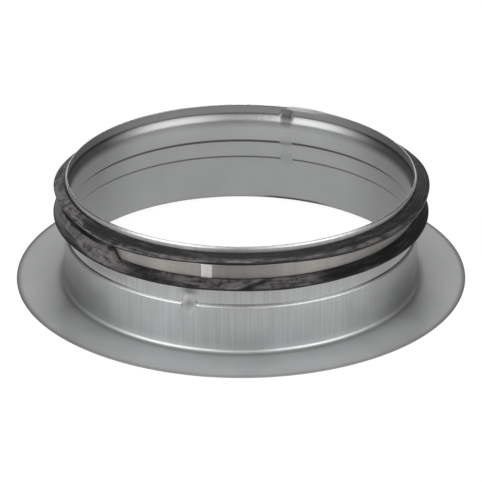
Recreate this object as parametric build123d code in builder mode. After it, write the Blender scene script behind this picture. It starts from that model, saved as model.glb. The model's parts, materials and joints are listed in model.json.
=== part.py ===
"""Duct inlet pipe for round duct: a pressed steel collar, a double lip seal and the strap that holds it."""

import os
from math import cos, pi, radians, sin

from build123d import *

# Collar, across
sheet = 0.7  # thickness of the pressed steel
slip_diameter = 248.6  # outside of the spigot where the duct slides over it
stop_step = 1.7  # how far the stop shoulder stands out past the slip surface
seat_step = 2.4  # how far the seal seat lies below the slip surface
bead_step = 0.1  # how far the bead above the seal stands out past the slip surface
rim_lean = 0.3  # how far the rim leans in between the bead and its curled top
curl_lean = 0.9  # how far the curled top of the rim leans in
wall_draft = 0.5  # how much wider the wall is at its foot than at the stop shoulder
flange_width = 34.6  # from the foot of the wall to the flange's outer edge

# Collar, zones one above the other
wall_length = 34.4  # from the flange's underside to the stop shoulder
stop_rise = 1.7  # height of the stop shoulder
slip_length = 11.9  # plain band between the stop shoulder and the seal seat
seat_rise = 2.5  # height of the shoulder under the seal
seat_length = 15.5  # straight part of the seal seat
flare_rise = 4.6  # height of the flare that keeps the seal from sliding off
rim_length = 6.8  # from the bead to the curled top
curl_rise = 1.4  # height of the curled top

# Collar, bends of the sheet measured on its outer side
base_bend = 2.6
shoulder_bend = 1.3
hollow_bend = 1.0
flare_bend = 4.5
bead_bend = 1.6
curl_bend = 1.2

# Two marks where the halves of the forming tool meet, in which both shoulders fade into ramps
mark_angle = 74.4  # direction of the first mark, the second is opposite
mark_width = 11.0  # along the wall
mark_fade = 3.0  # how much longer the ramp is at each end

# Seal
seal_fit = 0.05  # between the seal and the sheet
seal_base = 2.2  # rubber on the straight part of the seat
seal_foot_gap = 0.5  # bare seat under the seal
seal_cap = 0.9  # rubber over the bead and the rim
seal_head = 4.0  # how far the seal climbs past the bead
lip_reach = 9.1  # how far both lips stand out past the slip surface
upper_root = 4.3  # thickness of the upper lip where it leaves the base
lower_root = 2.0  # thickness of the lower lip where it leaves the base
upper_edge = 1.9  # thickness of the upper lip at its blunt edge
lower_edge = 1.1  # thickness of the lower lip at its blunt edge
edge_lean = 0.35  # how far a blunt edge leans in underneath
upper_droop = 3.8  # how far the upper lip's edge lies below the top of the seal
lower_droop = 4.0  # how far the lower lip's edge lies below its root
seal_skirt = 2.4  # base strip below the lower lip

# Strap
strap_thickness = 0.5
strap_fit = 0.05  # between the strap and the rubber under it
strap_gap = 0.4  # bare rubber at each edge of the strap
lap_angle = 260.0  # direction of the lapped ends
lap_length = 8.5  # along the strap

# Radii and heights that follow from the sizes above
slip_radius = slip_diameter / 2
wall_radius = slip_radius + stop_step
foot_radius = wall_radius + wall_draft
flange_radius = foot_radius + flange_width
seat_radius = slip_radius - seat_step
bead_radius = slip_radius + bead_step
curl_radius = bead_radius - rim_lean
rim_radius = curl_radius - curl_lean
slip_height = wall_length + stop_rise
step_height = slip_height + slip_length
seat_height = step_height + seat_rise
flare_height = seat_height + seat_length
bead_height = flare_height + flare_rise
curl_height = bead_height + rim_length
rim_height = curl_height + curl_rise
mark_sweep = 360 * mark_width / (2 * pi * slip_radius)

seal_foot = seat_height + seal_foot_gap
seal_top = bead_height + seal_head
seal_top_radius = bead_radius - rim_lean * seal_head / rim_length + seal_fit
valley_radius = seat_radius + seal_fit + seal_base
lip_radius = slip_radius + lip_reach
lower_height = seal_foot + seal_skirt + lower_root
strap_foot = lower_height + strap_gap
strap_width = flare_height - strap_gap - strap_foot
strap_inner = valley_radius + strap_fit
lap_sweep = 360 * lap_length / (2 * pi * strap_inner)


def section_plane(angle):
    """Upright half plane through the pipe's axis, with X running outwards and Y up."""
    turn = radians(angle)
    return Plane(origin=(0, 0, 0), x_dir=(cos(turn), sin(turn), 0), z_dir=(sin(turn), -cos(turn), 0))


def sheet_line(fade):
    """Outer side of the sheet from the flange's edge to the rim, with each shoulder lengthened by fade."""
    corners = [
        (flange_radius, sheet),
        (foot_radius, sheet),
        (wall_radius, wall_length - fade),
        (slip_radius, slip_height + fade),
        (slip_radius, step_height - fade),
        (seat_radius, seat_height),
        (seat_radius, flare_height),
        (bead_radius, bead_height),
        (curl_radius, curl_height),
        (rim_radius, rim_height),
    ]
    bends = [base_bend, shoulder_bend, hollow_bend, shoulder_bend, hollow_bend, flare_bend, bead_bend, curl_bend]
    return FilletPolyline(*corners, radius=bends)


# Collar: one sheet bent out flat at the foot, turned round the axis in four sectors
with BuildPart() as collar:
    for side in range(2):
        mark_start = mark_angle + 180 * side - mark_sweep / 2
        for start, sweep, fade in (
            (mark_start, mark_sweep, mark_fade),
            (mark_start + mark_sweep, 180 - mark_sweep, 0),
        ):
            with BuildSketch(section_plane(start)):
                with BuildLine():
                    offset(sheet_line(fade), amount=sheet, side=Side.LEFT)
                make_face()
            revolve(axis=Axis.Z, revolution_arc=sweep)

# Seal: a base strip that follows the seat, flare and rim, with two lips that lean towards the flange
with BuildPart() as lip_seal:
    with BuildSketch(section_plane(0)):
        with BuildLine():
            base_line = FilletPolyline(
                (seat_radius + seal_fit, seal_foot),
                (seat_radius + seal_fit, flare_height),
                (bead_radius + seal_fit, bead_height),
                (seal_top_radius, seal_top),
                radius=[flare_bend, bead_bend],
            )
            Polyline(
                base_line @ 1,
                (seal_top_radius + seal_cap, seal_top),
                (lip_radius, seal_top - upper_droop),
                (lip_radius - edge_lean, seal_top - upper_droop - upper_edge),
                (bead_radius + seal_fit + seal_cap, seal_top - upper_root),
                (valley_radius, flare_height),
                (valley_radius, lower_height),
                (lip_radius, lower_height - lower_droop),
                (lip_radius - edge_lean, lower_height - lower_droop - lower_edge),
                (valley_radius, lower_height - lower_root),
                (valley_radius, seal_foot),
                base_line @ 0,
            )
        make_face()
    revolve(axis=Axis.Z)

# Strap: a band round the valley between the lips, its outer end lapped over the inner one
with BuildPart() as seal_strap:
    with BuildSketch(section_plane(0)):
        with Locations((strap_inner, strap_foot)):
            Rectangle(strap_thickness, strap_width, align=(Align.MIN, Align.MIN))
    revolve(axis=Axis.Z)
    with BuildSketch(section_plane(lap_angle - lap_sweep / 2)):
        with Locations((strap_inner + strap_thickness, strap_foot)):
            Rectangle(strap_thickness, strap_width, align=(Align.MIN, Align.MIN))
    revolve(axis=Axis.Z, revolution_arc=lap_sweep)

collar.part.label = "collar"
lip_seal.part.label = "lip_seal"
seal_strap.part.label = "seal_strap"

os.makedirs("parts", exist_ok=True)
for piece in (collar.part, lip_seal.part, seal_strap.part):
    export_step(piece, f"parts/{piece.label}.step")
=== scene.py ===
"""Looks of the duct inlet pipe: its collar, lip seal and strap as formula surfaces in the model's frame."""

import json

import bpy
import numpy as np
from bpy.props import FloatProperty, FloatVectorProperty, PointerProperty
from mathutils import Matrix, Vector


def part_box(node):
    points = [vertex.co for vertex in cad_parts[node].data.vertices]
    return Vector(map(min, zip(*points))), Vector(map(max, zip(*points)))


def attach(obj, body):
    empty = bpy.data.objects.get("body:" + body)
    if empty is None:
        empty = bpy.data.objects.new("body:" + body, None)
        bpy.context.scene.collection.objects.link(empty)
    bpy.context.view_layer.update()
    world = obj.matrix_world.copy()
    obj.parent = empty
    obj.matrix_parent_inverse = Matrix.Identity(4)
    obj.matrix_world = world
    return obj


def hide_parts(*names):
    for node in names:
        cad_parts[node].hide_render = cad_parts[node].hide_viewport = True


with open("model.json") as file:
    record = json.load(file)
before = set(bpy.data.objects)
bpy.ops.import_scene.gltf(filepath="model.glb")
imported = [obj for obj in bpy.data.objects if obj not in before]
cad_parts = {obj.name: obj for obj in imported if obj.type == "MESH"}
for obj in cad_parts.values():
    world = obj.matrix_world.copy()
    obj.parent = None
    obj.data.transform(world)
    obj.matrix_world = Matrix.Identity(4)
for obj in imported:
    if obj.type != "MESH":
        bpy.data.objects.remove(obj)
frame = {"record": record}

bl_info = {
    "name": "Duct inlet pipe",
    "version": (1, 0, 0),
    "blender": (4, 5, 0),
    "location": "3D View > Sidebar > Duct pipe",
    "description": "Builds the pressed collar, lip seal and strap of a flanged duct inlet pipe",
    "category": "Add Mesh",
}

MM = 0.001
COLLAR_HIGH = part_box("collar")[1]
SEAL_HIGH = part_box("lip_seal")[1]
STRAP_LOW, STRAP_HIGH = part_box("seal_strap")
SPIGOT = next(mount for mount in frame["record"]["mounts"] if mount["name"] == "duct_spigot")
RIBS = 4  # along the upper lip's face
SEAL_ARC = 5  # points on each bend of the seal's section
LOWER_RUN, UPPER_RUN = 5, 10  # the lips' faces among the straight runs of that section


# Properties


def length(name, description, default):
    """A size in metres."""
    return FloatProperty(name=name, description=description, default=default, unit="LENGTH", precision=5)


def bearing(name, description, degrees):
    """An angle, kept in radians."""
    return FloatProperty(name=name, description=description, default=np.radians(degrees), unit="ROTATION")


def millimetres(name, description, default):
    """A size inside the camera."""
    return FloatProperty(name=name, description=description, default=default, unit="CAMERA")


def watts(name, description, default):
    """Power of a lamp."""
    return FloatProperty(name=name, description=description, default=default, unit="POWER")


def share(name, description, default):
    """A number from 0 to 1."""
    return FloatProperty(name=name, description=description, default=default, min=0, max=1, subtype="FACTOR")


def tint(name, description, default):
    """A linear colour."""
    return FloatVectorProperty(
        name=name, description=description, default=default, size=3, min=0, max=1, subtype="COLOR"
    )


class CollarSizes(bpy.types.PropertyGroup):
    """Sizes of the pressed sheet, zone by zone from the flange to the rim."""

    sheet: length("Sheet", "Thickness of the steel", 0.7 * MM)
    flange_radius: length("Flange radius", "Outer edge of the flange", COLLAR_HIGH.x)
    slip_radius: length("Slip radius", "Outside of the spigot", SPIGOT["dims"]["r_mm"] * MM)
    stop_step: length("Stop step", "How far the stop shoulder stands out", 1.7 * MM)
    seat_step: length("Seat step", "How far the seal seat lies in", 2.4 * MM)
    bead_step: length("Bead step", "How far the bead stands out", 0.1 * MM)
    rim_lean: length("Rim lean", "How far the rim leans in below its curl", 0.3 * MM)
    curl_lean: length("Curl lean", "How far the curled top of the rim leans in", 0.9 * MM)
    curl_height: length("Curl height", "Height of the curled top of the rim", 1.4 * MM)
    wall_draft: length("Wall draft", "How much wider the wall is at its foot", 0.5 * MM)
    wall_length: length("Wall length", "From the flange's underside to the stop shoulder", 34.4 * MM)
    stop_rise: length("Stop rise", "Height of the stop shoulder", 1.7 * MM)
    slip_length: length("Slip length", "Band between the stop and the seat", 11.9 * MM)
    seat_rise: length("Seat rise", "Height of the shoulder under the seal", 2.5 * MM)
    seat_length: length("Seat length", "Straight part of the seal seat", 15.5 * MM)
    flare_rise: length("Flare rise", "Height of the flare above the seat", 4.6 * MM)
    rim_height: length("Rim height", "Top edge of the collar", COLLAR_HIGH.z)
    base_bend: length("Base bend", "Bend between flange and wall", 2.6 * MM)
    shoulder_bend: length("Shoulder bend", "Outer bend of both shoulders", 1.3 * MM)
    hollow_bend: length("Hollow bend", "Inner bend of both shoulders", 1.0 * MM)
    flare_bend: length("Flare bend", "Bend at the foot of the flare", 4.5 * MM)
    bead_bend: length("Bead bend", "Bend at the top of the flare", 1.6 * MM)
    curl_bend: length("Curl bend", "Bend under the curled top of the rim", 1.2 * MM)
    edge_round: length("Edge round", "How far a cut edge of the sheet is rounded", 0.2 * MM)
    mark_turn: bearing("Mark turn", "Direction of the front tool mark", -16.1)
    mark_width: length("Mark width", "Width of each tool mark", 9.8 * MM)
    mark_fade: length("Mark fade", "How much longer the stop shoulder's ends are in a tool mark", 6.0 * MM)
    seat_fade: length("Seat fade", "How much lower the seat's shoulder starts in a tool mark", 1.0 * MM)
    mark_bend: length("Mark bend", "How much softer the stop shoulder's bends are in a tool mark", 70 * MM)
    mark_edge: length("Mark edge", "Width over which a shoulder ends at a tool mark", 1.2 * MM)
    mark_gap: length("Mark gap", "Width over which the flare is flattened at a tool mark", 8.5 * MM)
    gap_rise: length("Gap rise", "How much higher the bead lies there", 4.0 * MM)
    roll_out: length("Roll out", "How far the rim's top rolls outwards beside the rear tool mark", 1.8 * MM)
    roll_height: length("Roll height", "Height of the part of the rim that rolls outwards", 3.2 * MM)
    flange_lift: length("Flange lift", "How far the flange's edge waves up", 0.5 * MM)


class SealSizes(bpy.types.PropertyGroup):
    """Sizes of the rubber ring and how its two lips lie."""

    fit: length("Fit", "Between the seal and the sheet", 0.05 * MM)
    base: length("Base", "Rubber on the straight part of the seat", 2.2 * MM)
    foot_gap: length("Foot gap", "Bare seat under the seal", 0.5 * MM)
    cap: length("Cap", "Rubber over the bead", 0.9 * MM)
    strap_gap: length("Strap gap", "Bare rubber between the strap and the lower lip", 0.4 * MM)
    top: length("Top", "Upper edge of the seal", SEAL_HIGH.z)
    lip_radius: length("Lip radius", "How far both lips reach", SEAL_HIGH.x)
    lip_root: length("Lip root", "Thickness of the lower lip at its root", 2.0 * MM)
    upper_edge: length("Upper edge", "Thickness of the upper lip at its edge", 1.9 * MM)
    lower_edge: length("Lower edge", "Thickness of the lower lip at its edge", 1.1 * MM)
    edge_lean: length("Edge lean", "How far a lip's edge leans in underneath", 0.35 * MM)
    upper_height: length("Upper height", "Mean height of the upper lip's lower edge", 68.9 * MM)
    upper_sway: length("Upper sway", "How much the upper lip rises and sinks four times round", 1.4 * MM)
    lower_height: length("Lower height", "Height of the lower lip's lower edge", 50.3 * MM)
    rib_height: length("Rib height", "Fine ribs along the upper lip", 0.12 * MM)
    rib_turn: bearing("Rib turn", "Where the ribs stand out most", -60)
    dent_turn: bearing("Dent turn", "Where the upper lip is pressed in", -62)
    side_dent_turn: bearing("Side dent turn", "Where the upper lip is pressed in again", -113.566)
    dent_depth: length("Dent depth", "How far the upper lip is pressed in there", 2.4 * MM)
    tuck_turn: bearing("Tuck turn", "Where the lower lip starts to ride up over the strap", -42)
    tuck_end: bearing("Tuck end", "Where the lower lip has come off the strap again", -135)
    tuck_rise: length("Tuck rise", "How far the lower lip rides up there", 8.6 * MM)
    fold_turn: bearing("Fold turn", "Where the slanting fold starts at the lower lip's edge", -2.6)
    fold_slant: bearing("Fold slant", "How far the slanting fold turns on its way inwards", 8.2)
    pleat_turn: bearing("Pleat turn", "Where the lower lip has an upright pleat", 28)
    fold_depth: length("Fold depth", "Depth of the folds in the lower lip", 0.7 * MM)


class StrapSizes(bpy.types.PropertyGroup):
    """Sizes of the steel strip and its lapped ends."""

    thickness: length("Thickness", "Thickness of the strip", 0.5 * MM)
    fit: length("Fit", "Between the strip and the rubber", 0.05 * MM)
    foot: length("Foot", "Lower edge of the strip", STRAP_LOW.z)
    top: length("Top", "Upper edge of the strip", STRAP_HIGH.z)
    lap_turn: bearing("Lap turn", "Direction of the lapped ends", -10.6)
    lap_length: length("Lap length", "Length of the lapped ends", 7.6 * MM)
    waviness: length("Waviness", "How far the strip bows outwards between its ends", 0.08 * MM)


class FinishColours(bpy.types.PropertyGroup):
    """Colours of the steel and the rubber."""

    zinc: tint("Zinc", "Mean colour of the galvanised sheet", (0.346, 0.35, 0.353))
    zinc_dull: tint("Dull zinc", "Colour of its duller patches", (0.284, 0.288, 0.291))
    # Colour of the painted shade on the collar (dark lines in its bends and creases, darker flanks, dimmed
    # highlights), and also of one smear in the front tool mark.
    shade_and_smear: tint("Shade", "Colour of the grime in the creases", (0.045, 0.044, 0.042))
    rubber: tint("Rubber", "Colour of clean rubber", (0.008, 0.008, 0.0085))
    # Colour of the dust, and also of the painted highlights on the rubber.
    dust_and_shading: tint("Dust", "Colour of dusty rubber", (0.078, 0.073, 0.072))
    strip: tint("Strip", "Colour of the strap", (0.26, 0.25, 0.235))
    # Colour of the painted highlight over the lapped ends.
    weld: tint("Weld", "Colour of the lapped ends", (0.5, 0.485, 0.47))


class StageSizes(bpy.types.PropertyGroup):
    """Camera, lamps and floor."""

    lens: millimetres("Lens", "Focal length of the camera", 185.0)
    sensor: millimetres("Sensor", "Width of the camera's sensor", 36.0)
    camera_rise: bearing("Camera rise", "Camera's elevation above the horizon", 25.684)
    camera_distance: length("Camera distance", "From the camera to its target", 1.7753)
    target_height: length("Target height", "Height of the point that the camera looks at", 23.643 * MM)
    floor_size: length("Floor size", "Side of the square floor", 12.0)
    floor_colour: tint("Floor colour", "Colour of the floor under its own white", (0.9, 0.9, 0.9))
    floor_white: share("Floor white", "Share of the floor's own white beside the light on it", 0.9)
    ambient: share("Ambient", "Level of the room's even light", 0.36)
    lamp_distance: length("Lamp distance", "From the lamps to the object", 1.6)
    side_turn: bearing("Side turn", "Bearing of the left and right lamp from the front", 46)
    left_rise: bearing("Left rise", "Elevation of the left lamp", 24)
    right_rise: bearing("Right rise", "Elevation of the right lamp", 22)
    top_rise: bearing("Top rise", "Elevation of the lamp overhead", 89)
    rear_rise: bearing("Rear rise", "Elevation of the lamp behind", 30)
    side_lamp: length("Side lamp", "Side of the square left and right lamp", 1.5)
    small_lamp: length("Small lamp", "Side of the square lamps overhead and behind", 0.6)
    left_power: watts("Left power", "Power of the left lamp", 34.1)
    right_power: watts("Right power", "Power of the right lamp", 31.0)
    top_power: watts("Top power", "Power of the lamp overhead", 15.0)
    rear_power: watts("Rear power", "Power of the lamp behind", 5.5)


class PipeSettings(bpy.types.PropertyGroup):
    """All settings of the duct inlet pipe."""

    collar: PointerProperty(type=CollarSizes)
    seal: PointerProperty(type=SealSizes)
    strap: PointerProperty(type=StrapSizes)
    finish: PointerProperty(type=FinishColours)
    stage: PointerProperty(type=StageSizes)


# Forms


def smooth_step(x):
    """S-shaped rise from 0 to 1 while x goes from 0 to 1."""
    x = np.clip(x, 0, 1)
    return x * x * (3 - 2 * x)


def away(turn, centre):
    """Angle from centre to turn, from minus to plus half a turn."""
    return (turn - centre + np.pi) % (2 * np.pi) - np.pi


def plateau(turn, centre, width, edge):
    """1 over an arc of that width, falling to 0 over edge at each end; all are angles."""
    return smooth_step((width / 2 - np.abs(away(turn, centre))) / edge + 0.5)


def hump(turn, centre, width):
    """Bell-shaped bump of height 1 with that half width, as an angle."""
    return np.exp(-((away(turn, centre) / width) ** 2))


def band(height, low, high, soft):
    """1 from low to high, falling to 0 over soft beyond each; all are heights."""
    return smooth_step((height - low) / soft + 1) * smooth_step((high - height) / soft + 1)


def waves(turn, terms):
    """Sum of cosines round the axis; each term gives the number of waves, the height and the phase."""
    return sum(height * np.cos(count * turn + phase) for count, height, phase in terms)


def turns(steps, *dense):
    """Angles of one full turn in even steps, with finer steps round each (centre, half width, step)."""
    even = np.linspace(-np.pi, np.pi, steps, endpoint=False)
    for centre, half_width, step in dense:
        fine = centre + np.arange(-half_width, half_width + step / 2, step)
        even = np.append(even[np.abs(away(even, centre)) > half_width + step], away(fine, 0))
    return np.sort(even)


def section(turn, *corners):
    """Corners of a section at every angle, as an array of angle, corner and (across, height)."""
    rows = [np.stack(np.broadcast_arrays(across, height, turn)[:2], axis=-1) for across, height in corners]
    return np.stack(rows, axis=1)


def left_of(heading):
    """Unit vector to the left of a heading angle."""
    return np.stack([-np.sin(heading), np.cos(heading)], axis=-1)


def rounded_line(corners, bends, runs, arc_steps):
    """Line through the corners with an arc at each inner one, whose radius may change with the angle.

    An arc of radius b that turns by t starts b * tan(t / 2) before its corner. Its points lie b to the
    right of its centre as seen along the heading, which turns evenly. Each straight run gets as many
    points as runs says. Gives the points, the heading at each, and the place of each run's first
    point."""
    legs = np.diff(corners, axis=1)
    heading = np.arctan2(legs[..., 1], legs[..., 0])
    bend = np.stack([np.broadcast_to(value, len(corners)) for value in bends], axis=1)
    turning = (np.diff(heading, axis=1) + np.pi) % (2 * np.pi) - np.pi
    cut = bend * np.tan(np.abs(turning) / 2)
    along = np.stack([np.cos(heading), np.sin(heading)], axis=-1)
    start = corners[:, 1:-1] - along[:, :-1] * cut[..., None]
    finish = corners[:, 1:-1] + along[:, 1:] * cut[..., None]
    radius = (np.sign(turning) * bend)[..., None]
    centre = start + radius * left_of(heading[:, :-1])
    sweep = heading[:, :-1, None] + turning[..., None] * np.linspace(0, 1, arc_steps)
    arcs = centre[:, :, None] - radius[:, :, None] * left_of(sweep)

    points, headings, places, count = [], [], [], 0
    for index, run in enumerate(runs):
        first = corners[:, 0] if index == 0 else finish[:, index - 1]
        last = corners[:, -1] if index == len(runs) - 1 else start[:, index]
        step = np.linspace(0, 1, run + 2)[min(index, 1) : None if index == len(runs) - 1 else -1]
        points.append(first[:, None] + (last - first)[:, None] * step[:, None])
        headings.append(np.repeat(heading[:, index, None], len(step), axis=1))
        places.append(count)
        count += len(step)
        if index < len(runs) - 1:
            points.append(arcs[:, index])
            headings.append(sweep[:, index])
            count += arc_steps
    return np.concatenate(points, axis=1), np.concatenate(headings, axis=1), places


def edge_cap(start, end, ahead, depth, steps=5):
    """Half ellipse from start to end that bulges by depth in the direction ahead."""
    swing = np.linspace(0, np.pi, steps + 2)[1:-1, None]
    middle, half = (start + end)[:, None] / 2, (start - end)[:, None] / 2
    return middle + half * np.cos(swing) + depth * ahead[:, None] * np.sin(swing)


def ring_mesh(name, turn, loop, attributes):
    """Closed ring: at angle t a point (across, height) lies at (across sin t, -across cos t, height)."""
    across, height = loop[..., 0], loop[..., 1]
    angle = turn[:, None]
    places = np.stack([across * np.sin(angle), -across * np.cos(angle), height], axis=-1)
    index = np.arange(across.size).reshape(across.shape)
    beside, above = np.roll(index, -1, axis=0), np.roll(index, -1, axis=1)
    quads = np.stack([index, beside, np.roll(beside, -1, axis=1), above], axis=-1).reshape(-1, 4)
    mesh = bpy.data.meshes.new(name)
    mesh.vertices.add(across.size)
    mesh.vertices.foreach_set("co", places.astype(np.float32).ravel())
    mesh.loops.add(quads.size)
    mesh.loops.foreach_set("vertex_index", quads.astype(np.int32).ravel())
    mesh.polygons.add(len(quads))
    mesh.polygons.foreach_set("loop_start", np.arange(0, quads.size, 4, dtype=np.int32))
    mesh.polygons.foreach_set("use_smooth", np.ones(len(quads), bool))
    for key, values in attributes.items():
        layer = mesh.attributes.new(key, "FLOAT", "POINT")
        layer.data.foreach_set("value", np.broadcast_to(values, across.shape).astype(np.float32).ravel())
    mesh.update(calc_edges=True)
    if mesh.validate():
        raise RuntimeError(f"the mesh of {name} isn't sound")
    return mesh


def add_piece(name, mesh, node, material):
    """Put a finished mesh in place of a CAD node, riding on the part's only body."""
    old = bpy.data.objects.get(name)
    if old:
        bpy.data.objects.remove(old)
    piece = bpy.data.objects.new(name, mesh)
    bpy.context.scene.collection.objects.link(piece)
    mesh.materials.append(material)
    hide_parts(node)
    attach(piece, "root")


def collar_heights(size):
    """Heights of the collar's corners above the flange's underside: slip, step, seat, flare and bead."""
    slip = size.wall_length + size.stop_rise
    step = slip + size.slip_length
    seat = step + size.seat_rise
    flare = seat + size.seat_length
    return slip, step, seat, flare, flare + size.flare_rise


def mark_mask(size, turn):
    """1 in both tool marks, which lie opposite each other, and 0 elsewhere."""
    arc, edge = size.mark_width / size.slip_radius, size.mark_edge / size.slip_radius
    return sum(plateau(turn, size.mark_turn + half, arc, edge) for half in (0, np.pi))


def mark_tongue(size, turn):
    """Share of the longest ramp: 1 in the middle of a tool mark, about a third at its sides, 0 elsewhere."""
    arc = size.mark_width / 3 / size.slip_radius
    bell = sum(hump(turn, size.mark_turn + half, arc) for half in (0, np.pi))
    return mark_mask(size, turn) * (0.3 + 0.7 * bell)


def gap_mask(size, turn):
    """1 in the middle of both tool marks, falling off softly over the gap in the flare."""
    arc = size.mark_gap / size.slip_radius
    return sum(plateau(turn, size.mark_turn + half, arc, arc / 2) for half in (0, np.pi))


def collar_form(size):
    """The sheet: an outer line with rounded bends, a line one thickness to its left, and two round edges.

    In a tool mark the stop shoulder is a long soft ramp, the seat's shoulder starts lower and the flare
    runs up higher. Beside the rear mark the rim's top rolls out by its height squared. The flange's
    edge waves up by a sum of cosines times the reach squared."""
    fine = 0.35 * MM / size.slip_radius
    near = 0.75 * size.mark_width / size.slip_radius
    rear = away(size.mark_turn, np.pi)
    turn = turns(480, (size.mark_turn, near, fine), (rear, near, fine))
    tongue = mark_tongue(size, turn)
    fade, soft = size.mark_fade * tongue, size.mark_bend * tongue**2
    slip, step, seat, flare, bead = collar_heights(size)
    wall_radius = size.slip_radius + size.stop_step
    foot_radius = wall_radius + size.wall_draft
    seat_radius = size.slip_radius - size.seat_step
    bead_radius = size.slip_radius + size.bead_step
    curl_radius = bead_radius - size.rim_lean
    corners = section(
        turn,
        (size.flange_radius - size.edge_round, size.sheet),
        (foot_radius, size.sheet),
        (wall_radius, size.wall_length - fade),
        (size.slip_radius, slip + fade),
        (size.slip_radius, step - size.seat_fade * tongue),
        (seat_radius, seat),
        (seat_radius, flare),
        (bead_radius, bead + size.gap_rise * gap_mask(size, turn)),
        (curl_radius, size.rim_height - size.curl_height),
        (curl_radius - size.curl_lean, size.rim_height - size.edge_round),
    )
    bends = [size.base_bend, size.shoulder_bend + soft, size.hollow_bend + soft, size.shoulder_bend]
    bends += [size.hollow_bend, size.flare_bend, size.bead_bend, size.curl_bend]
    outer, heading, _ = rounded_line(corners, bends, [8, 5, 1, 2, 1, 2, 1, 3, 1], arc_steps=6)
    inner = outer + size.sheet * left_of(heading)
    ahead = np.stack([np.cos(heading), np.sin(heading)], axis=-1)
    rim = edge_cap(outer[:, -1], inner[:, -1], ahead[:, -1], size.edge_round)
    hem = edge_cap(inner[:, 0], outer[:, 0], -ahead[:, 0], size.edge_round)
    loop = np.concatenate([outer, rim, inner[:, ::-1], hem], axis=1)

    beside = np.degrees(away(rear + np.radians(1.6), turn))
    roll = smooth_step(beside / 2.5) * (1 - smooth_step((beside - 7) / 18))
    top = np.clip((loop[..., 1] - size.rim_height) / size.roll_height + 1, 0, 1)
    loop[..., 0] += size.roll_out * roll[:, None] * top**2
    lift = 0.5 + waves(turn, ((2, 0.22, 0.4), (3, 0.16, 2.0), (5, 0.12, 4.1)))
    reach = np.clip((loop[..., 0] - foot_radius) / (size.flange_radius - foot_radius), 0, 1)
    loop[..., 1] += size.flange_lift * lift[:, None] * reach**2
    return turn, loop, outer.shape[1], rim.shape[1]


def from_front(turn):
    """How many degrees each angle lies away from the front, as a column."""
    return np.abs(np.degrees(away(turn, 0)))[:, None]


def flank_share(turn):
    """0 at the front of the pipe and 1 on its flanks and at the back, as a column."""
    return smooth_step((from_front(turn) - 35) / 20)


def ramp_share(size, turn, height):
    """1 in the middle of the long ramp in a tool mark, falling off softly round it."""
    slip = collar_heights(size)[0]
    return mark_tongue(size, turn)[:, None] * band(height, size.wall_length - 2 * MM, slip + MM, 5 * MM)


def inner_painted_shade(size, turn, across, height):
    """Painted shade inside the pipe: bands of height, each with its own strength and its own stretch of the
    turn.

    Both shoulders and the bend above the flare get painted dark lines of shade that stop at the tool marks.
    The marks, the rim, the foot, the flare and all but the back are painted darker as shade, which dims
    their highlights, and one stretch of the foot gets a painted black shadow."""
    slip, step, seat, flare, bead = collar_heights(size)
    marked = mark_mask(size, turn)[:, None]
    angle = from_front(turn)
    # painted shade: dark lines where the shoulders and the bead's bend face away from the light
    stop_line = 0.6 * band(height, size.wall_length, slip, 0.3 * MM)
    seat_line = 0.8 * band(height, step, seat, 0.3 * MM)
    bead_line = 0.5 * band(height, bead + 0.1 * MM, bead + 0.9 * MM, 0.4 * MM)
    lines = (stop_line + seat_line + bead_line) * (1 - marked)
    # painted shade: the rim, the foot and the flanks are darker inside
    rim = 0.375 * smooth_step((height - bead) / MM - 0.5) * (height < size.rim_height - 1.5 * MM)
    foot = 0.8 * smooth_step((1.6 * MM - height) / (0.8 * MM)) * (across < size.slip_radius + 6 * MM)
    flanks = smooth_step((145 - angle) / 25) * (0.2 + 0.3 * band(height, flare - MM, bead + MM, MM))
    # painted shade that takes the flare's highlight away in the tool marks
    gap = 0.4 * band(height, flare, bead, 2 * MM) + 0.5 * band(height, bead - MM, bead + 4 * MM, 1.5 * MM)
    gap *= gap_mask(size, turn)[:, None]
    # painted shade that dims the flare's highlight, most at the back
    flared = 0.24 + 0.14 * np.exp(-(((angle - 180) / 20) ** 2))
    flared = flared * band(height, flare - 3 * MM, bead, MM)
    # a painted black shadow along one stretch of the foot, at the hole's back edge
    black = 0.9 * plateau(turn, np.radians(161), np.radians(20), np.radians(8))[:, None]
    black = black * band(height, 0, 2.4 * MM, 0.8 * MM)
    # painted shade that evens out the tool marks' shoulders and ramps inside
    blur = 0.13 * marked * band(height, step - 1.5 * MM, seat, 2 * MM)
    ramp = 0.09 * ramp_share(size, turn, height)
    return lines + rim + foot + flanks + gap + flared + black + blur + ramp


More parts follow.
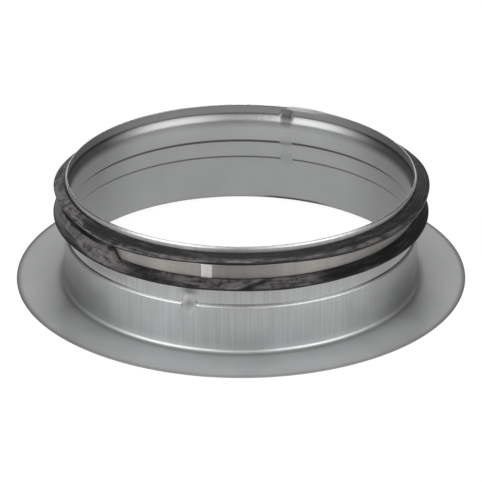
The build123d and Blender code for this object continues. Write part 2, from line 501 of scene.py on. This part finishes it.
def outer_shade_and_smear(size, turn, across, height):
    """Painted shade and a smear outside the pipe: bands of height, each with its own strength and its own
    stretch of the turn.

    A painted dark line of shade runs over the stop shoulder up to the tool marks, whose ramps and sides are
    painted darker to dim their highlights. The slip band has a smear in the front mark and is darker at the
    left. A ring beside the base bend, the wall's flanks, the rim and the flange's cut edge get painted
    shade."""
    slip, step, _, _, bead = collar_heights(size)
    marked = mark_mask(size, turn)[:, None]
    angle, flank = from_front(turn), flank_share(turn)
    # painted shade: a dark line in the hollow above the stop shoulder, stopping at the tool marks
    line = (0.65 + 0.35 * flank) * band(height, slip - 0.4 * MM, slip + 0.2 * MM, 0.2 * MM) * (1 - marked)
    # a darker smear just under the seal in the front tool mark
    smear = 0.6 * hump(turn, size.mark_turn, np.radians(2.6))[:, None]
    smear = smear * band(height, step - 5 * MM, step, 2.5 * MM)
    # painted shade at the ends and over the ramps of the tool marks, which dims their highlights
    ends = 2 * marked * (1 - marked) + 0.3 * marked
    ends = ends * band(height, size.wall_length - MM, slip + 0.5 * MM, 1.5 * MM)
    ramp = 0.28 * ramp_share(size, turn, height)
    # painted shade on the flange in a ring beside the base bend
    ring = (across - size.slip_radius - size.stop_step - size.base_bend) / (1.8 * MM) - 0.7
    hollow = 0.45 * np.exp(-(ring**2)) * (height < 2 * MM)
    # painted shade on the wall's flanks and on the stop shoulder there
    wall = 0.2 * smooth_step((angle - 50) / 15) * (height < size.wall_length)
    wall = wall + 0.14 * smooth_step((angle - 38) / 14) * band(height, 0.6 * size.wall_length, step, 8 * MM)
    shoulder = 0.1 * flank * band(height, size.wall_length - 0.8 * MM, slip, 0.4 * MM)
    # a darker stretch of the slip band at the left
    left = 0.2 * plateau(turn, np.radians(-48), np.radians(22), np.radians(10))[:, None]
    left = left * band(height, slip + 2 * MM, step, MM)
    # painted shade on the flange's cut edge and on the rim's outside below its curl
    cut_edge = 0.5 * (across > size.flange_radius - 0.25 * MM)
    rim = 0.25 * smooth_step((height - bead) / MM - 0.5) * (height < size.rim_height - 2 * MM)
    return line + smear + ends + ramp + hollow + wall + shoulder + left + cut_edge + rim


def collar_wear(size, turn, loop, side, cap):
    """How much painted shade and smear each point of the sheet has, how strongly drawn and how smooth it is.

    The drawing marks show mostly outside, and as chatter inside the flare beside the rear tool mark.
    The wall's inside is the roughest and the rim's outside the smoothest. The base bend is worn
    smooth, and so is the stop shoulder at the front."""
    slip, _, _, flare, bead = collar_heights(size)
    across, height = loop[..., 0], loop[..., 1]
    flank = flank_share(turn)
    within = np.zeros(loop.shape[1])
    within[side + cap : 2 * side + cap] = 1
    inner = inner_painted_shade(size, turn, across, height)
    outer = outer_shade_and_smear(size, turn, across, height)
    # painted shade inside and outside the sheet, with one smear in the front tool mark
    shade_and_smear = np.clip(within * inner + (1 - within) * outer, 0, 1)

    drawn = smooth_step(height / (4 * MM) - 0.5) * (1 - 0.7 * within) * (1 - 0.6 * flank)
    chatter_turn = size.mark_turn + np.pi + np.radians(7.5)
    chatter = plateau(turn, chatter_turn, np.radians(9), np.radians(3))[:, None]
    drawn += 1.6 * within * chatter * band(height, flare, bead, 0.6 * MM)

    outside = (0.4 + 0.3 * flank) * smooth_step(height / (6 * MM))
    outside += 0.6 * smooth_step((height - bead) / (4 * MM) - 0.5)
    outside += 0.5 * band(height, 1.6 * MM, 3 * MM, 0.5 * MM)
    front_stretch = (1 - mark_mask(size, turn)[:, None]) * (1 - flank)
    outside += 0.4 * front_stretch * band(height, size.wall_length - MM, slip, 0.4 * MM)
    inside = 0.1 + 0.65 * smooth_step((height - flare) / (2 * MM) + 1)
    return {"shade_and_smear": shade_and_smear, "drawn": drawn, "smooth": (1 - within) * outside + within * inside}


def face_shares(face):
    """Share of the way along a face at each of its points."""
    return np.linspace(0, 1, face.stop - face.start + 2)[1:-1]


def tuck_mask(size, turn):
    """1 where the lower lip rides up over the strap and 0 elsewhere."""
    begun = smooth_step(away(size.tuck_turn, turn) / np.radians(4.5) + 0.5)
    return begun * smooth_step(away(turn, size.tuck_end) / np.radians(20))


def slanting_fold(size, turn, inwards):
    """Ridge and hollow of the lower lip's fold: two bells round an angle that grows on the way inwards."""
    slant = away(turn[:, None], size.fold_turn) - size.fold_slant * inwards
    ridge = np.exp(-((slant / np.radians(0.7)) ** 2))
    hollow = np.exp(-(((slant - np.radians(3)) / np.radians(2.2)) ** 2))
    return ridge, hollow


def seal_form(size, collar):
    """The rubber ring: one closed section with two blunt lips, carried round the axis.

    The upper lip's edge rises and sinks as a cosine with four waves and is pressed in by a bell at each
    dent, and its face has ribs. The lower lip's face rides up over the strap past the tuck, and carries
    a slanting fold and an upright pleat, each a ridge with a hollow beside it."""
    _, _, seat, flare, bead = collar_heights(collar)
    turn = turns(660)
    seat_radius = collar.slip_radius - collar.seat_step + size.fit
    bead_radius = collar.slip_radius + collar.bead_step + size.fit
    top_lean = collar.rim_lean * (size.top - bead) / (collar.rim_height - collar.curl_height - bead)
    top_radius = bead_radius - top_lean
    valley = seat_radius + size.base
    foot = seat + size.foot_gap
    middle = (foot + flare) / 2
    lower_root = STRAP_LOW.z - size.strap_gap
    upper = size.upper_height + size.upper_sway * np.cos(4 * turn)
    upper = upper + MM * waves(turn, ((9, 0.12, 0.3), (14, 0.08, 1.1), (23, 0.05, 2.0)))
    lower = size.lower_height + MM * waves(turn, ((8, 0.12, 1.3), (13, 0.1, 0.2), (27, 0.06, 3.0)))
    dents = hump(turn, size.dent_turn, np.radians(16))
    dents = dents + 1.2 * hump(turn, size.side_dent_turn, np.radians(22))
    upper_rim = size.lip_radius - size.dent_depth * dents
    corners = section(
        turn,
        (seat_radius, middle),
        (seat_radius, foot),
        (valley, foot),
        (valley, lower_root - size.lip_root),
        (size.lip_radius - size.edge_lean, lower),
        (size.lip_radius, lower + size.lower_edge),
        (valley, lower_root),
        (valley, flare),
        (bead_radius + size.cap, size.upper_height + size.upper_sway),
        (upper_rim - size.edge_lean, upper),
        (upper_rim, upper + size.upper_edge),
        (top_radius + size.cap, size.top),
        (top_radius, size.top),
        (bead_radius, bead),
        (seat_radius, flare),
        (seat_radius, middle),
    )
    bends = MM * np.array([0.2, 0.3, 0.6, 0.3, 0.4, 0.6, 0.6, 0.6, 0.5, 0.45, 0.5, 0.2])
    runs = [1, 1, 1, 6, 1, 24, 2, 2, 6, 1, 22, 1, 1, 1, 1]
    loop, _, places = rounded_line(corners, [*bends, collar.bead_bend, collar.flare_bend], runs, SEAL_ARC)
    loop = loop[:, :-1]
    lower_face, upper_face = (slice(places[run], places[run] + runs[run]) for run in (LOWER_RUN, UPPER_RUN))

    inwards, upwards = face_shares(lower_face), face_shares(upper_face)
    ride = smooth_step(inwards / 0.6) * (1 - smooth_step((inwards - 0.85) / 0.08))
    loop[:, lower_face, 1] += size.tuck_rise * tuck_mask(size, turn)[:, None] * ride
    ridge, hollow = slanting_fold(size, turn, inwards)
    pleat = hump(turn, size.pleat_turn, np.radians(0.8))
    pleat = pleat - hump(turn, size.pleat_turn - np.radians(2.5), np.radians(2))
    fold = ridge - 0.9 * hollow + 0.7 * pleat[:, None] * smooth_step((0.9 - inwards) / 0.5)
    fade = smooth_step(inwards / 0.2) * smooth_step((1 - inwards) / 0.2)
    loop[:, lower_face] += (size.fold_depth * fold * fade)[..., None] * np.array([0.6, 0.8])

    ribs = np.cos(2 * np.pi * RIBS * upwards)
    ribs = ribs * smooth_step(upwards / 0.1) * smooth_step((1 - upwards) / 0.1)
    stand = size.rib_height * (1 + 1.5 * hump(turn, size.rib_turn, np.radians(14)))
    loop[:, upper_face, 1] += stand[:, None] * ribs
    return turn, loop, lower_face, upper_face


def seal_dust_and_shading(size, turn, loop, lower_face, upper_face):
    """How dusty each point of the rubber is, and where it carries painted shade and painted highlights.

    The lower lip's face is dusty at the left and in front. Painted shade darkens the fold's hollow, two
    stretches along its edge, and its inner half at the left under the upper lip; painted highlights lighten
    the fold's ridge and a streak beside the tuck. The upper lip's face is dusty at the left and along its
    lower part, and its edge is lighter from the left to the front."""
    inwards, upwards = face_shares(lower_face), face_shares(upper_face)
    angle = np.degrees(away(turn, 0))[:, None]
    ridge, hollow = slanting_fold(size, turn, inwards)
    tucked = tuck_mask(size, turn)[:, None]

    # painted shade along the lower lip's edge and, at the left, a painted shadow under the upper lip
    border = 0.7 - 0.05 * (angle + 24)
    shade = 0.7 * (1 - smooth_step((inwards - border) / 0.2 + 0.5))
    shade = shade * smooth_step((angle + 40) / 6) * (angle < -10)
    border = 0.3 * np.exp(-(((angle + 66) / 11) ** 2))
    shade += (1 - smooth_step((inwards - border) / 0.12 + 0.5)) * (angle < -45)
    shade += smooth_step((inwards - 0.5) / 0.1) * smooth_step((-46 - angle) / 4)
    dusty = (1 - smooth_step((angle - 18) / 11)) * smooth_step((angle + 165) / 60)
    # a painted highlight on the ridge beside the tuck
    edge = hump(turn, size.tuck_turn + np.radians(1), np.radians(2))[:, None] * (inwards > 0.3)
    dust_and_shading = np.zeros(loop.shape[:2])
    # dust, with painted shade in the fold's hollow and a painted highlight on its ridge
    dust_and_shading[:, lower_face] = 0.65 * dusty - 0.6 * hollow + 0.3 * ridge - 0.6 * shade + 0.8 * edge

    front = smooth_step((angle + 50) / 15) * smooth_step((70 - angle) / 30)
    dust_and_shading[:, upper_face] = 0.04 + 0.75 * (1 - smooth_step((angle + 66) / 14)) * tucked
    dust_and_shading[:, upper_face] += 0.5 * tucked * smooth_step((0.3 - upwards) / 0.1) * (angle < -56)
    dust_and_shading[:, upper_face] += 0.45 * front * smooth_step((0.4 - upwards) / 0.25)
    # a lighter stretch along the upper lip's edge
    front_stretch = (1 - smooth_step((angle - 1) / 4)) * (np.abs(angle) < 60)
    dust_and_shading[:, upper_face.start - SEAL_ARC : upper_face.start] = 0.15 + 0.75 * front_stretch
    return np.clip(dust_and_shading, 0, 1)


def strap_form(size, seal, collar):
    """The strip: a thin rounded rectangle, twice as thick over the lapped ends and bowed a little."""
    inner = collar.slip_radius - collar.seat_step + seal.fit + seal.base + size.fit
    fine = 0.2 * MM / inner
    turn = turns(420, (size.lap_turn, 0.75 * size.lap_length / inner, fine))
    lap = plateau(turn, size.lap_turn, size.lap_length / inner, 0.4 * MM / inner)
    bow = size.waviness * (0.5 + 0.5 * waves(turn, ((11, 0.4, 0.5), (17, 0.35, 2.2), (29, 0.25, 1.0))))
    near = inner + bow
    far = near + size.thickness * (1 + lap)
    middle = (size.foot + size.top) / 2
    corners = section(
        turn,
        (near, middle),
        (near, size.foot),
        (far, size.foot),
        (far, size.top),
        (near, size.top),
        (near, middle),
    )
    loop, _, _ = rounded_line(corners, [0.1 * MM] * 4, [1, 1, 6, 1, 1], arc_steps=4)
    return turn, loop[:, :-1], lap[:, None]


# Finishes


class Signal:
    """A shader socket on which arithmetic works: each operator adds a Math node and gives its result."""

    def __init__(self, tree, socket=None):
        self.tree, self.socket = tree, socket

    def node(self, kind, settings=None, inputs=None, output=0):
        """Add a node: first its settings, then a value or a link for each named or numbered input."""
        made = self.tree.nodes.new(kind)
        for key, value in (settings or {}).items():
            setattr(made, key, value)
        for key, value in (inputs or {}).items():
            if isinstance(value, Signal):
                self.tree.links.new(value.socket, made.inputs[key])
            else:
                made.inputs[key].default_value = value
        return Signal(self.tree, made.outputs[output] if made.outputs else None)

    def maths(self, operation, *values, clamp=False):
        """Math node on the given values."""
        return self.node(
            "ShaderNodeMath", {"operation": operation, "use_clamp": clamp}, dict(enumerate(values))
        )

    def __add__(self, other):
        return self.maths("ADD", self, other)

    def __sub__(self, other):
        return self.maths("SUBTRACT", self, other)

    def __rsub__(self, other):
        return self.maths("SUBTRACT", other, self)

    def __mul__(self, other):
        return self.maths("MULTIPLY", self, other)

    __radd__, __rmul__ = __add__, __mul__

    def clamped(self):
        """This value kept from 0 to 1."""
        return self.maths("ADD", self, 0.0, clamp=True)

    def blend(self, low, high):
        """Colour that goes from low to high as this value goes from 0 to 1."""
        return self.node(
            "ShaderNodeMix", {"data_type": "RGBA"}, {0: self, 6: colour(low), 7: colour(high)}, output=2
        )

    def noise(self, scale, detail, roughness):
        """Soft noise from 0 to 1 on this vector."""
        inputs = {"Vector": self, "Scale": scale, "Detail": detail, "Roughness": roughness}
        return self.node("ShaderNodeTexNoise", None, inputs)

    def stretched(self, x, y, z):
        """This vector with its parts multiplied."""
        return self.node("ShaderNodeVectorMath", {"operation": "MULTIPLY"}, {0: self, 1: (x, y, z)})

    def attribute(self, name):
        """Value that the mesh holds under that name at each point."""
        return self.node("ShaderNodeAttribute", {"attribute_name": name}, output="Fac")

    def between(self, low, high):
        """0 below low and 1 above high, with a soft rise between them."""
        settings = {"interpolation_type": "SMOOTHSTEP"}
        return self.node("ShaderNodeMapRange", settings, {"Value": self, "From Min": low, "From Max": high})


def colour(value):
    """A colour as a socket takes it, or a link as it is."""
    return value if isinstance(value, Signal) else (*value, 1.0)


def fresh_material(name):
    """Empty material and a signal on its node tree."""
    material = bpy.data.materials.get(name) or bpy.data.materials.new(name)
    material.use_nodes = True
    material.node_tree.nodes.clear()
    return material, Signal(material.node_tree)


def finish_surface(start, values, height, depth):
    """Principled shader with the given sockets and a bump of that depth, joined to the material's output."""
    normal = start.node("ShaderNodeBump", None, {"Height": height, "Distance": depth, "Strength": 1.0})
    shader = start.node("ShaderNodeBsdfPrincipled", None, {**values, "Normal": normal})
    start.node("ShaderNodeOutputMaterial", None, {"Surface": shader})


def galvanised_sheet(finish):
    """Satin zinc: upright drawing marks, cloudy patches, a faint grain, and painted shade with a smear where
    the mesh says so.
    """
    material, start = fresh_material("galvanised_sheet")
    place = start.node("ShaderNodeTexCoord", output="Object")
    shade_and_smear = start.attribute("shade_and_smear")
    drawn = start.attribute("drawn")
    smooth = start.attribute("smooth")
    upright = place.stretched(1, 1, 0.015)
    broad = upright.noise(520, 1.0, 0.5).between(0.35, 0.65)
    streak = broad * 0.5 + upright.noise(1300, 2.0, 0.6).between(0.3, 0.7) * 0.5
    cloud = place.noise(38, 3.0, 0.55)
    grain = place.noise(1600, 2.0, 0.6)
    tone = (cloud * 0.6 + grain * 0.35 + (streak - 0.5) * drawn * 0.4 + (1 - drawn) * 0.15).between(0.2, 0.8)
    metal = tone.blend(finish.zinc_dull, finish.zinc)
    finish_surface(
        start,
        {
            # the base colour goes dark where the mesh paints shade and the smear
            "Base Color": shade_and_smear.blend(metal, finish.shade_and_smear),
            "Metallic": (0.78 + smooth * 4.0).clamped(),
            "Roughness": 0.54 + cloud * 0.1 + grain * 0.06 - smooth * 0.24,
        },
        streak * drawn * 0.8 + grain * 0.25,
        0.03 * MM,
    )
    return material


def seal_rubber(finish):
    """Black rubber: dusty where it rubs, darker and lighter where the mesh paints shade and highlights, with
    soft creases and a fine grain.
    """
    material, start = fresh_material("seal_rubber")
    place = start.node("ShaderNodeTexCoord", output="Object")
    crease = place.stretched(0.06, 0.06, 1).noise(900, 3.0, 0.65)
    blotch = place.noise(160, 4.0, 0.65) * 0.6 + crease * 0.4
    grain = place.noise(900, 2.0, 0.6)
    dust_and_shading = start.attribute("dust_and_shading")
    # the dust value also carries painted shade and painted highlights
    grey = (dust_and_shading * (0.15 + 1.4 * blotch.between(0.38, 0.62)) + 0.25 * crease.between(0.5, 0.7)).clamped()
    finish_surface(
        start,
        {
            "Base Color": grey.blend(finish.rubber, finish.dust_and_shading),
            "Roughness": 0.42 + grey * 0.25 + grain * 0.08,
            "Specular IOR Level": 0.11,
        },
        crease * 0.5 + blotch * 0.4 + grain * 0.1,
        0.3 * MM,
    )
    return material


def strap_steel(finish):
    """Rolled strip: warm grey, brushed along its length, with a painted highlight over the lapped ends."""
    material, start = fresh_material("strap_steel")
    place = start.node("ShaderNodeTexCoord", output="Object")
    brushed = place.stretched(0.05, 0.05, 1).noise(1800, 2.0, 0.6)
    cloud = place.stretched(1, 1, 0.1).noise(90, 3.0, 0.6)
    lap = start.attribute("lap")
    tone = (brushed * 0.4 + cloud * 0.6).between(0.25, 0.75)
    dull = tuple(0.7 * part for part in finish.strip)
    # painted highlight over the lapped ends
    highlit_lap = (lap * (0.6 + 0.6 * cloud)).clamped()
    finish_surface(
        start,
        {
            "Base Color": highlit_lap.blend(tone.blend(dull, finish.strip), finish.weld),
            "Metallic": 1.0,
            "Roughness": 0.38 + cloud * 0.12,
            "Anisotropic": 0.6,
            "Anisotropic Rotation": 0.25,
        },
        brushed,
        0.02 * MM,
    )
    return material


# Stage


def seen_directly(start):
    """1 for rays from the camera, off a mirror or through glass, and 0 for other rays."""
    kinds = ("Is Camera Ray", "Is Glossy Ray", "Is Transmission Ray")
    camera, mirror, glass = (start.node("ShaderNodeLightPath", output=kind) for kind in kinds)
    return (camera + mirror + glass).clamped()


def grey_room(size):
    """World that lights the object evenly from all round at the ambient level."""
    world = bpy.data.worlds.get("grey_room") or bpy.data.worlds.new("grey_room")
    world.use_nodes = True
    world.node_tree.nodes.clear()
    start = Signal(world.node_tree)
    glow = start.node("ShaderNodeBackground", None, {"Strength": size.ambient})
    start.node("ShaderNodeOutputWorld", None, {"Surface": glow})
    bpy.context.scene.world = world


def pale_floor(size):
    """Floor whose own white hides most of the light on it where it is seen, and leaves a soft shadow."""
    half = size.floor_size / 2
    mesh = bpy.data.meshes.new("studio_floor")
    corners = [(-half, -half, 0), (half, -half, 0), (half, half, 0), (-half, half, 0)]
    mesh.from_pydata(corners, [], [(0, 1, 2, 3)])
    floor = bpy.data.objects.new("studio_floor", mesh)
    bpy.context.scene.collection.objects.link(floor)
    material, start = fresh_material("studio_floor")
    lit = start.node("ShaderNodeBsdfDiffuse", None, {"Color": colour(size.floor_colour)})
    white = start.node("ShaderNodeEmission", None, {"Strength": 1.0})
    seen = seen_directly(start) * size.floor_white
    mixed = start.node("ShaderNodeMixShader", None, {0: seen, 1: lit, 2: white})
    start.node("ShaderNodeOutputMaterial", None, {"Surface": mixed})
    mesh.materials.append(material)


def aim(item, target, turn, rise, distance):
    """Put a lamp or the camera at that bearing, elevation and distance from a point, turned towards it."""
    back = Vector((np.sin(turn) * np.cos(rise), -np.cos(turn) * np.cos(rise), np.sin(rise)))
    item.location = target + back * distance
    item.rotation_euler = (-back).to_track_quat("-Z", "Y").to_euler()
    bpy.context.scene.collection.objects.link(item)


def soft_lamp(name, turn, rise, distance, power, side):
    """Square lamp aimed at the middle of the pipe."""
    data = bpy.data.lights.new(name, "AREA")
    data.shape, data.size, data.energy = "SQUARE", side, power
    aim(bpy.data.objects.new(name, data), Vector((0, 0, COLLAR_HIGH.z / 2)), turn, rise, distance)


def front_camera(size):
    """Camera in front of the pipe, raised and aimed at a point on the axis."""
    data = bpy.data.cameras.new("camera")
    data.sensor_width, data.lens = size.sensor, size.lens
    camera = bpy.data.objects.new("camera", data)
    aim(camera, Vector((0, 0, size.target_height)), 0, size.camera_rise, size.camera_distance)
    bpy.context.scene.camera = camera


# Operators


class DUCTPIPE_OT_collar(bpy.types.Operator):
    """Build the pressed collar in place of its CAD node"""

    bl_idname = "ductpipe.collar"
    bl_label = "Collar"

    def execute(self, context):
        settings = context.scene.duct_pipe
        turn, loop, side, cap = collar_form(settings.collar)
        wear = collar_wear(settings.collar, turn, loop, side, cap)
        mesh = ring_mesh("pressed_collar", turn, loop, wear)
        add_piece("pressed_collar", mesh, "collar", galvanised_sheet(settings.finish))
        return {"FINISHED"}


class DUCTPIPE_OT_seal(bpy.types.Operator):
    """Build the double lip seal in place of its CAD node"""

    bl_idname = "ductpipe.seal"
    bl_label = "Lip seal"

    def execute(self, context):
        settings = context.scene.duct_pipe
        turn, loop, lower_face, upper_face = seal_form(settings.seal, settings.collar)
        dust_and_shading = seal_dust_and_shading(settings.seal, turn, loop, lower_face, upper_face)
        mesh = ring_mesh("rubber_lip_seal", turn, loop, {"dust_and_shading": dust_and_shading})
        add_piece("rubber_lip_seal", mesh, "lip_seal", seal_rubber(settings.finish))
        return {"FINISHED"}


class DUCTPIPE_OT_strap(bpy.types.Operator):
    """Build the strap in place of its CAD node"""

    bl_idname = "ductpipe.strap"
    bl_label = "Strap"

    def execute(self, context):
        settings = context.scene.duct_pipe
        turn, loop, lap = strap_form(settings.strap, settings.seal, settings.collar)
        mesh = ring_mesh("steel_strap", turn, loop, {"lap": lap})
        add_piece("steel_strap", mesh, "seal_strap", strap_steel(settings.finish))
        return {"FINISHED"}


class DUCTPIPE_OT_stage(bpy.types.Operator):
    """Set up the floor, the room's light, the lamps and the camera"""

    bl_idname = "ductpipe.stage"
    bl_label = "Stage"

    def execute(self, context):
        size = context.scene.duct_pipe.stage
        context.scene.view_settings.view_transform = "Standard"
        grey_room(size)
        pale_floor(size)
        for name, turn, rise, power, side in (
            ("left_lamp", -size.side_turn, size.left_rise, size.left_power, size.side_lamp),
            ("right_lamp", size.side_turn, size.right_rise, size.right_power, size.side_lamp),
            ("top_lamp", 0, size.top_rise, size.top_power, size.small_lamp),
            ("rear_lamp", np.pi, size.rear_rise, size.rear_power, size.small_lamp),
        ):
            soft_lamp(name, turn, rise, size.lamp_distance, power, side)
        front_camera(size)
        return {"FINISHED"}


class DUCTPIPE_PT_sidebar(bpy.types.Panel):
    """Settings and build buttons of the duct inlet pipe"""

    bl_label = "Duct inlet pipe"
    bl_space_type = "VIEW_3D"
    bl_region_type = "UI"
    bl_category = "Duct pipe"

    def draw(self, context):
        settings = context.scene.duct_pipe
        for group in ("collar", "seal", "strap", "finish", "stage"):
            box = self.layout.box()
            box.label(text=group.title())
            values = getattr(settings, group)
            for key in values.__annotations__:
                box.prop(values, key)
            if group != "finish":
                box.operator(f"ductpipe.{group}")


CLASSES = (
    CollarSizes,
    SealSizes,
    StrapSizes,
    FinishColours,
    StageSizes,
    PipeSettings,
    DUCTPIPE_OT_collar,
    DUCTPIPE_OT_seal,
    DUCTPIPE_OT_strap,
    DUCTPIPE_OT_stage,
    DUCTPIPE_PT_sidebar,
)


def register():
    for part in CLASSES:
        bpy.utils.register_class(part)
    bpy.types.Scene.duct_pipe = PointerProperty(type=PipeSettings)


def unregister():
    del bpy.types.Scene.duct_pipe
    for part in reversed(CLASSES):
        bpy.utils.unregister_class(part)


def main():
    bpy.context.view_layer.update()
    register()
    bpy.ops.ductpipe.collar()
    bpy.ops.ductpipe.seal()
    bpy.ops.ductpipe.strap()
    bpy.ops.ductpipe.stage()


if __name__ == "__main__":
    main()
